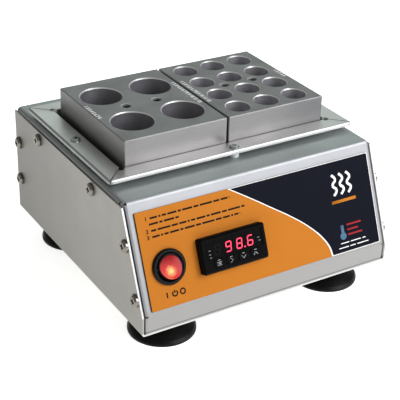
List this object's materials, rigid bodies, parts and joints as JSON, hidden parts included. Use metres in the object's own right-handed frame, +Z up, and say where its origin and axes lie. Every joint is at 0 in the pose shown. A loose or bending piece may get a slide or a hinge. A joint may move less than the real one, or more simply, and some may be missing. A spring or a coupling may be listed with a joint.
{
  "type": "dry block heater",
  "caption": "Bench dry block heater: sloped folded case on suction feet, drilled aluminium blocks in a raised well pan, panel controller and lit rocker switch.",
  "frame": {"origin": "on the bench, under the middle of the part's box", "axes": "+Z up, -Y out of the control side, +X to the right of someone facing the controls"},
  "size_m": [0.1976, 0.1944, 0.1245],
  "materials": {
    "case_steel": "satin",
    "label_print": "satin",
    "pan_aluminium": "satin",
    "block_aluminium": "machined",
    "spacer_nylon": "satin",
    "fastener_steel": "bright",
    "heater_rubber": "matt",
    "insulation_board": "matt",
    "black_plastic": "satin",
    "rocker_red": "gloss",
    "window_dark": "gloss",
    "fuse_glass": "clear",
    "blade_brass": "bright",
    "foot_rubber": "satin"
  },
  "bodies": {
    "case": {"base_chassis": "case_steel", "cover": "case_steel", "front_label": "label_print", "well_pan": "pan_aluminium", "pan_spacer_front": "spacer_nylon", "pan_spacer_rear": "spacer_nylon", "pan_spacer_left": "spacer_nylon", "pan_spacer_right": "spacer_nylon", "heater_mat": "heater_rubber", "heater_insulation": "insulation_board", "heater_clamp_plate": "pan_aluminium", "clamp_studs": "fastener_steel", "clamp_nuts": "fastener_steel", "sensor_probe": "fastener_steel", "sensor_clip": "pan_aluminium", "thermal_cutout": "black_plastic", "switch_housing": "black_plastic", "switch_blades": "blade_brass", "controller_housing": "black_plastic", "controller_bezel": "black_plastic", "display_window": "window_dark", "controller_clip": "black_plastic", "power_inlet": "black_plastic", "inlet_blades": "blade_brass", "solid_state_relay": "black_plastic", "terminal_strip": "black_plastic", "terminal_clamps": "blade_brass", "foot_front_left": "foot_rubber", "foot_front_right": "foot_rubber", "foot_rear_left": "foot_rubber", "foot_rear_right": "foot_rubber", "foot_studs": "fastener_steel", "foot_nuts": "fastener_steel", "case_screws": "fastener_steel", "clinch_nuts": "fastener_steel", "pan_screws": "fastener_steel", "pan_nuts": "fastener_steel", "inlet_screws": "fastener_steel", "inlet_nuts": "fastener_steel", "floor_screws": "fastener_steel", "floor_nuts": "fastener_steel", "earth_stud": "fastener_steel", "earth_nut": "fastener_steel"},
    "large_block": {"block_large_wells": "block_aluminium"},
    "small_block": {"block_small_wells": "block_aluminium"},
    "rocker": {"rocker": "rocker_red"},
    "drawer": {"fuse_drawer": "black_plastic", "fuse": "fuse_glass"},
    "key_set_cap": {"key_set": "black_plastic"},
    "key_shift_cap": {"key_shift": "black_plastic"},
    "key_lower_cap": {"key_lower": "black_plastic"},
    "key_raise_cap": {"key_raise": "black_plastic"}
  },
  "joints": [
    {"name": "large_block_lift", "type": "slide", "parent": "case", "child": "large_block", "axis": [0, 0, 1], "range_m": [0, 0.06]},
    {"name": "small_block_lift", "type": "slide", "parent": "case", "child": "small_block", "axis": [0, 0, 1], "range_m": [0, 0.06]},
    {"name": "rocker_tilt", "type": "hinge", "parent": "case", "child": "rocker", "pos_m": [-0.0725, -0.08817, 0.05905], "axis": [1, 0, 0], "range_deg": [0, 24]},
    {"name": "drawer_slide", "type": "slide", "parent": "case", "child": "drawer", "axis": [0, 1, 0], "range_m": [0, 0.018]},
    {"name": "key_set_press", "type": "slide", "parent": "case", "child": "key_set_cap", "axis": [0, 0.9225, -0.3859], "range_m": [0, 0.0006], "stiffness_N_per_m": 600},
    {"name": "key_shift_press", "type": "slide", "parent": "case", "child": "key_shift_cap", "axis": [0, 0.9225, -0.3859], "range_m": [0, 0.0006], "stiffness_N_per_m": 600},
    {"name": "key_lower_press", "type": "slide", "parent": "case", "child": "key_lower_cap", "axis": [0, 0.9225, -0.3859], "range_m": [0, 0.0006], "stiffness_N_per_m": 600},
    {"name": "key_raise_press", "type": "slide", "parent": "case", "child": "key_raise_cap", "axis": [0, 0.9225, -0.3859], "range_m": [0, 0.0006], "stiffness_N_per_m": 600}
  ]
}
